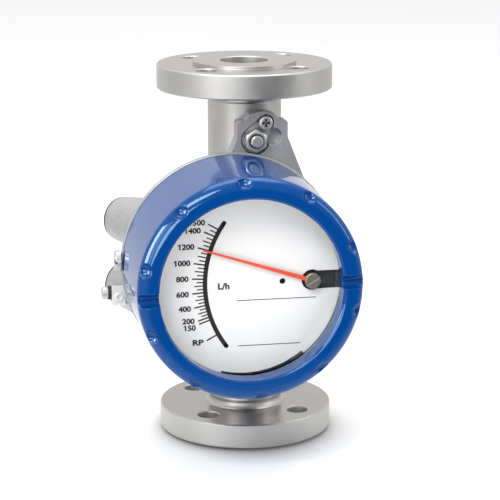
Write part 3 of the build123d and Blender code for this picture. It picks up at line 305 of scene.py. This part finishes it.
def clear_glass():
    """Clear flat glass, seen only by its reflection."""
    material, tree = new_material("window_glass")
    slant = add(tree, "ShaderNodeLayerWeight", {"Blend": 0.5}).outputs["Facing"]
    steep = add(tree, "ShaderNodeMath", {0: slant, 1: 5.0}, operation="POWER").outputs[0]
    gloss = spread(tree, steep, 0.03, 0.9, 0.0, 1.0)
    streaks = noise(tree, 15.0)
    shader = add(
        tree,
        "ShaderNodeBsdfPrincipled",
        {
            "Base Color": (0.9, 0.93, 0.93, 1.0),
            "Metallic": 1.0,
            "Roughness": spread(tree, streaks, 0.02, 0.05),
            "Alpha": gloss,
        },
    )
    close_material(tree, shader)
    return material


MATERIALS = {
    "stainless_steel": turned_and_blasted(),
    "machined_steel": plain_metal("machined_steel", (0.60, 0.59, 0.57), 0.2, 0.3),
    # Bright steel gets painted shade, nearly black, in its recesses and gaps within 2.5 mm.
    "bright_steel": plain_metal(
        "bright_steel", (0.60, 0.595, 0.585), 0.3, 0.4, metallic=0.72, shade_reach=2.5 * MM
    ),
    "weld_metal": plain_metal(
        "weld_metal", (0.5, 0.48, 0.45), 0.3, 0.4, grain=600.0, depth=0.05 * MM
    ),
    "cast_grey": coated_casting("cast_grey", (0.46, 0.46, 0.465), 0.3, 0.4, 0.1 * MM),
    "plug_metal": coated_casting("plug_metal", (0.5, 0.505, 0.51), 0.34, 0.44, 0.02 * MM),
    "ring_metal": plain_metal("ring_metal", (0.62, 0.63, 0.64), 0.3, 0.4),
    "blue_enamel": blue_enamel(),
    "hub_metal": plain_metal("hub_metal", (0.50, 0.46, 0.40), 0.45, 0.55),
    "brass_parts": plain_metal("brass_parts", (0.62, 0.47, 0.22), 0.25, 0.35),
    "magnet_metal": plain_metal("magnet_metal", (0.3, 0.3, 0.31), 0.3, 0.4),
    "black_rubber": rubber(),
    "black_plastic": matt_paint("black_plastic", (0.045, 0.05, 0.055), 0.5, 0.6),
    "dial_white": matt_paint("dial_white", (0.82, 0.82, 0.815), 0.5, 0.58, 0.012),
    "pointer_red": matt_paint("pointer_red", (0.76, 0.075, 0.035), 0.35, 0.42),
    "window_glass": clear_glass(),
    "pale_zinc": plain_metal("pale_zinc", (0.78, 0.78, 0.775), 0.35, 0.45, metallic=0.3),
    "print_black": matt_paint("print_black", (0.012, 0.012, 0.013), 0.5, 0.6),
}

# Pieces whose finish differs from the rest of their slot
FINISHES = {"earth_plate": "pale_zinc", "earth_screw": "pale_zinc"}

SHARP_ANGLE = math.radians(30.0)


def dress_cad_nodes():
    """Gives each CAD node its slot's material and smooth shading between sharp edges."""
    for subpart in frame["record"]["subparts"]:
        piece = nodes[subpart["node"]]
        mesh = piece.data
        mesh.materials.clear()
        finish = FINISHES.get(subpart["node"], subpart["material_slot"])
        mesh.materials.append(MATERIALS[finish])
        for polygon in mesh.polygons:
            polygon.use_smooth = True
        mesh.set_sharp_from_angle(angle=SHARP_ANGLE)


def dial_point(radius, turn):
    """A point of the dial at a radius and an angle above the pivot's left."""
    return Vector((pivot.x - radius * math.cos(turn), dial_y, pivot.z + radius * math.sin(turn)))


def add_face(shape, points):
    shape.faces.new([shape.verts.new(point) for point in points])


def draw_bar(shape, start, end, width):
    """A straight printed line with square ends."""
    side = (end - start).normalized().cross(Vector((0, 1, 0))) * width / 2
    add_face(shape, (start - side, end - side, end + side, start + side))


# The dial's print. Radii are from the pointer's pivot, turns are above its left.
ARC_RADIUS = 67.45 * MM
ARC_WIDTH = 2.8 * MM
ARC_TOP = math.radians(34.8)
ARC_BOTTOM = math.radians(-36.4)
TICK_START = ARC_RADIUS + 0.4 * ARC_WIDTH
LONG_TICK_END = 75.7 * MM
MIDDLE_TICK_END = 74.2 * MM
SHORT_TICK_END = 72.7 * MM
LONG_TICK_WIDTH = 0.95 * MM
SHORT_TICK_WIDTH = 0.8 * MM
LABEL_RADIUS = 77.8 * MM
DIGIT_HEIGHT = 3.75 * MM
DIGIT_WIDTH = 2.6 * MM
ONE_WIDTH = 1.7 * MM
FLAG_SIZE = 1.0 * MM
FLAG_WIDTH = 0.6 * MM
FLAG_INSET = 0.3 * MM
FLAG_DROP = 0.25 * MM
BOLDNESS = 0.042
LABELLED_FLOWS = (150, 200, 400, 600, 800, 1000, 1200, 1400, 1500)
LABEL_SHIFTS = {150: -1.5 * MM, 200: 0.8 * MM}
REST_LABEL_WIDTH = 7.0 * MM
UNIT_LEFT = -34.4 * MM
UNIT_BOTTOM = 121.3 * MM
UNIT_HEIGHT = 4.2 * MM
UNIT_WIDTH = 7.3 * MM
RULES = (
    (-22.7 * MM, 27.7 * MM, 113.8 * MM),
    (-22.1 * MM, 17.8 * MM, 84.6 * MM),
)
RULE_WIDTH = 0.5 * MM

# The scale's course
MIDDLE_FLOW = 800.0
MIDDLE_TURN = 3.0
TURN_PER_FLOW = 0.0367
TURN_GROWTH = 3.4e-6
REST_TURN = math.radians(-28.35)


def turn_at(flow):
    """The dial angle of a flow in litres an hour. The scale opens a little towards its top."""
    step = flow - MIDDLE_FLOW
    return math.radians(MIDDLE_TURN + TURN_PER_FLOW * step + TURN_GROWTH * step * step)


def draw_arc(shape):
    """The thick printed arc with round ends."""
    steps = 90
    half = ARC_WIDTH / 2
    outer, inner = [], []
    for i in range(steps + 1):
        turn = ARC_TOP + (ARC_BOTTOM - ARC_TOP) * i / steps
        outer.append(shape.verts.new(dial_point(ARC_RADIUS + half, turn)))
        inner.append(shape.verts.new(dial_point(ARC_RADIUS - half, turn)))
    for i in range(steps):
        shape.faces.new((outer[i], outer[i + 1], inner[i + 1], inner[i]))
    for turn in (ARC_TOP, ARC_BOTTOM):
        draw_disc(shape, dial_point(ARC_RADIUS, turn), half)


def draw_disc(shape, middle, radius):
    points = []
    for i in range(24):
        turn = math.tau * i / 24
        points.append(middle + Vector((math.cos(turn), 0.0, math.sin(turn))) * radius)
    add_face(shape, points)


def draw_tick(shape, turn, end, width):
    draw_bar(shape, dial_point(TICK_START, turn), dial_point(end, turn), width)


def draw_ticks(shape):
    """Long ticks at the labels, middle ones halfway between them, and short ones in the gaps."""
    for flow in range(200, 1401, 50):
        if flow % 200 == 0:
            draw_tick(shape, turn_at(flow), LONG_TICK_END, LONG_TICK_WIDTH)
        elif flow % 100 == 0:
            draw_tick(shape, turn_at(flow), MIDDLE_TICK_END, SHORT_TICK_WIDTH)
        else:
            draw_tick(shape, turn_at(flow), SHORT_TICK_END, SHORT_TICK_WIDTH)
    draw_tick(shape, turn_at(1450), SHORT_TICK_END, SHORT_TICK_WIDTH)
    for flow in (150, 1500):
        draw_tick(shape, turn_at(flow), LONG_TICK_END, LONG_TICK_WIDTH)
    draw_tick(shape, REST_TURN, LONG_TICK_END, LONG_TICK_WIDTH)


def draw_rules(shape):
    """Two thin rules, above and below the data of the measured liquid."""
    for left, right, height in RULES:
        start = Vector((left, dial_y, height))
        end = Vector((right, dial_y, height))
        draw_bar(shape, start, end, RULE_WIDTH)


def draw_flags(shape, tops):
    """The slanted strokes of the leading ones, from the tops of their stems."""
    for top in tops:
        draw_bar(shape, top, top - Vector((FLAG_SIZE, 0, FLAG_SIZE)), FLAG_WIDTH)


def print_shape(name, draw):
    """One printed mesh on the dial."""
    shape = bmesh.new()
    draw(shape)
    for face in shape.faces:
        if face.normal.y > 0:
            face.normal_flip()
    mesh = bpy.data.meshes.new(name)
    shape.to_mesh(mesh)
    shape.free()
    mesh.materials.append(MATERIALS["print_black"])
    piece = bpy.data.objects.new(name, mesh)
    bpy.context.scene.collection.objects.link(piece)
    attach(piece, "meter")
    return piece


def print_text(name, words, height, corner, align="RIGHT", width=0.0):
    """Printed words on the dial. The corner is the lower one on the side of their alignment."""
    line = bpy.data.curves.new(name, "FONT")
    line.body = words
    line.align_x = align
    line.size = 1.0
    line.offset = BOLDNESS
    line.resolution_u = 3
    sample = bpy.data.objects.new(name, line)
    bpy.context.scene.collection.objects.link(sample)
    bpy.context.view_layer.update()
    mesh = bpy.data.meshes.new_from_object(sample)
    bpy.data.objects.remove(sample)
    across = [vertex.co.x for vertex in mesh.vertices]
    upward = [vertex.co.y for vertex in mesh.vertices]
    tall = height / (max(upward) - min(upward))
    wide = width / (max(across) - min(across)) if width else tall
    edge = max(across) if align == "RIGHT" else min(across)
    for vertex in mesh.vertices:
        x = corner.x + (vertex.co.x - edge) * wide
        z = corner.z + (vertex.co.y - min(upward)) * tall
        vertex.co = Vector((x, dial_y, z))
    mesh.name = name
    mesh.materials.append(MATERIALS["print_black"])
    piece = bpy.data.objects.new(name, mesh)
    bpy.context.scene.collection.objects.link(piece)
    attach(piece, "meter")
    return piece


def print_dial():
    stem_tops = []
    print_shape("dial_arc", draw_arc)
    print_shape("dial_ticks", draw_ticks)
    print_shape("dial_rules", draw_rules)
    for flow in LABELLED_FLOWS:
        corner = dial_point(LABEL_RADIUS, turn_at(flow)) - Vector((0, 0, DIGIT_HEIGHT / 2))
        corner.z += LABEL_SHIFTS.get(flow, 0.0)
        words = str(flow)
        width = DIGIT_WIDTH * len(words.replace("1", "")) + ONE_WIDTH * words.count("1")
        print_text("label_" + words, words, DIGIT_HEIGHT, corner, width=width)
        if words.startswith("1"):
            stem_tops.append(corner + Vector((FLAG_INSET - width, 0, DIGIT_HEIGHT - FLAG_DROP)))
    print_shape("label_flags", lambda shape: draw_flags(shape, stem_tops))
    corner = dial_point(LABEL_RADIUS, REST_TURN) - Vector((0, 0, DIGIT_HEIGHT / 2))
    print_text("label_rest", "RP", DIGIT_HEIGHT, corner, width=REST_LABEL_WIDTH)
    unit_corner = Vector((UNIT_LEFT, dial_y, UNIT_BOTTOM))
    print_text("label_unit", "L/h", UNIT_HEIGHT, unit_corner, align="LEFT", width=UNIT_WIDTH)


def floor_material():
    """Pale paint, with a contact shadow painted darker close beside the part. Reflections lose it
    further out.
    """
    material, tree = new_material("studio_floor")
    clouds = noise(tree, 0.7)
    colour = mix_colour(
        tree, spread(tree, clouds, 0.0, 1.0), (0.87, 0.87, 0.87, 1.0), (0.89, 0.89, 0.89, 1.0)
    )
    away = add(tree, "ShaderNodeVectorMath", {0: place(tree)}, operation="LENGTH").outputs["Value"]
    glossy = add(tree, "ShaderNodeLightPath").outputs["Is Glossy Ray"]
    # Painted contact shadow: the floor's colour turns grey where the part covers its sky within 30
    # mm.
    clear = spread(tree, open_share(tree, 30 * MM), 0.0, 1.0, 0.5, 0.95)
    painted_shadow_colour = mix_colour(tree, clear, (0.5, 0.5, 0.495, 1.0), colour)
    paint = add(tree, "ShaderNodeBsdfPrincipled", {"Base Color": painted_shadow_colour, "Roughness": 0.7})
    gone = add(tree, "ShaderNodeBsdfTransparent")
    far = spread(tree, away, 0.4, 1.0, 0.2, 0.4)
    hidden = add(tree, "ShaderNodeMath", {0: far, 1: glossy}, operation="MULTIPLY").outputs[0]
    shader = add(tree, "ShaderNodeMixShader", {0: hidden, 1: paint.outputs[0], 2: gone.outputs[0]})
    close_material(tree, shader)
    return material


FLOOR_REACH = 8.0


def build_floor():
    """A wide pale floor at the lower sealing face."""
    mesh = bpy.data.meshes.new("floor")
    far, near = FLOOR_REACH, -FLOOR_REACH
    corners = [(near, near, 0), (far, near, 0), (far, far, 0), (near, far, 0)]
    mesh.from_pydata(corners, [], [(0, 1, 2, 3)])
    mesh.materials.append(floor_material())
    floor = bpy.data.objects.new("floor", mesh)
    bpy.context.scene.collection.objects.link(floor)


HEART = Vector((0.0, 0.0, 0.13))


def aim(thing, target):
    thing.rotation_euler = (target - thing.location).to_track_quat("-Z", "Y").to_euler()


def softbox(name, middle, width, height, power, gloss_only=False, only_on=None):
    """A soft lamp that looks at the part's heart, and may light one node alone."""
    light = bpy.data.lights.new(name, "AREA")
    light.shape = "RECTANGLE"
    light.size = width
    light.size_y = height
    light.energy = power
    lamp = bpy.data.objects.new(name, light)
    lamp.location = middle
    lamp.visible_diffuse = not gloss_only
    aim(lamp, HEART)
    bpy.context.scene.collection.objects.link(lamp)
    if only_on:
        lit = bpy.data.collections.new(name + "_lights")
        lit.objects.link(nodes[only_on])
        lamp.light_linking.receiver_collection = lit


def light_studio():
    front_left = (-0.47, -1.4, 0.28)
    softbox("key_softbox", (-0.7, -1.0, 1.3), 0.9, 0.5, 17.0)
    softbox("left_strip", (-1.5, -0.3, 0.6), 0.8, 0.9, 36.0, True, "front_cover")
    softbox("front_strip", front_left, 0.6, 0.5, 8.0, True, "front_cover")
    softbox("left_fill", (-1.2, -1.1, 0.5), 0.5, 0.9, 5.0, True)
    softbox("front_fill", front_left, 0.6, 0.5, 1.8, True)
    softbox("top_softbox", (0.1, 0.3, 1.6), 1.4, 1.0, 12.0)
    softbox("right_softbox", (1.3, -0.5, 0.6), 0.4, 1.0, 4.0)


DARK_GAP = (0.407, -0.914, 0.0)


def towards(tree, direction, aim_at):
    """The cosine between a direction and an aim."""
    return add(
        tree, "ShaderNodeVectorMath", {0: direction, 1: aim_at}, operation="DOT_PRODUCT"
    ).outputs["Value"]


def build_world():
    """Even white light all round. Gloss sees a dark gap in front, and sides that dull off."""
    world = bpy.data.worlds.new("studio")
    world.use_nodes = True
    world.cycles.sampling_method = "NONE"
    tree = world.node_tree
    tree.nodes.clear()
    direction = add(tree, "ShaderNodeTexCoord").outputs["Generated"]
    parts = add(tree, "ShaderNodeSeparateXYZ", {"Vector": direction}).outputs
    level = spread(tree, towards(tree, direction, DARK_GAP), 0.9, 0.04, 0.25, 0.93)
    dull_right = spread(tree, parts["X"], 1.0, 0.7, 0.4, 0.95)
    dull_left = spread(tree, parts["X"], 0.7, 1.0, -0.95, -0.3)
    for dull in (dull_right, dull_left):
        level = add(tree, "ShaderNodeMath", {0: level, 1: dull}, operation="MULTIPLY").outputs[0]
    overhead = spread(tree, parts["Z"], 0.0, 0.4, -0.12, 0.3)
    level = add(tree, "ShaderNodeMath", {0: level, 1: overhead}, operation="MAXIMUM").outputs[0]
    white = (1.0, 1.0, 1.0, 1.0)
    plain = add(tree, "ShaderNodeBackground", {"Color": white, "Strength": 1.0})
    mirrored = add(tree, "ShaderNodeBackground", {"Color": white, "Strength": level})
    glossy = add(tree, "ShaderNodeLightPath").outputs["Is Glossy Ray"]
    both = add(
        tree, "ShaderNodeMixShader", {0: glossy, 1: plain.outputs[0], 2: mirrored.outputs[0]}
    )
    add(tree, "ShaderNodeOutputWorld", {"Surface": both.outputs[0]})
    bpy.context.scene.world = world


CAMERA_TURN = math.radians(-10.382)
CAMERA_RISE = math.radians(13.680)
CAMERA_DISTANCE = 1301.8 * MM
CAMERA_TARGET = Vector((3.64 * MM, 0.0, 121.66 * MM))
CAMERA_ROLL = math.radians(-0.07)
LENS = 140.07


def build_camera():
    """The photograph's camera: its angle, distance and lens."""
    back = Vector(
        (
            math.sin(CAMERA_TURN) * math.cos(CAMERA_RISE),
            -math.cos(CAMERA_TURN) * math.cos(CAMERA_RISE),
            math.sin(CAMERA_RISE),
        )
    )
    data = bpy.data.cameras.new("camera")
    data.sensor_width = 36.0
    data.lens = LENS
    camera = bpy.data.objects.new("camera", data)
    bpy.context.scene.collection.objects.link(camera)
    facing = (-back).to_track_quat("-Z", "Y").to_matrix().to_4x4()
    stand = Matrix.Translation(CAMERA_TARGET + back * CAMERA_DISTANCE)
    camera.matrix_world = stand @ facing @ Matrix.Rotation(CAMERA_ROLL, 4, "Z")
    bpy.context.scene.camera = camera


dress_cad_nodes()
print_dial()
build_floor()
light_studio()
build_world()
build_camera()
bpy.context.scene.view_settings.view_transform = "Standard"
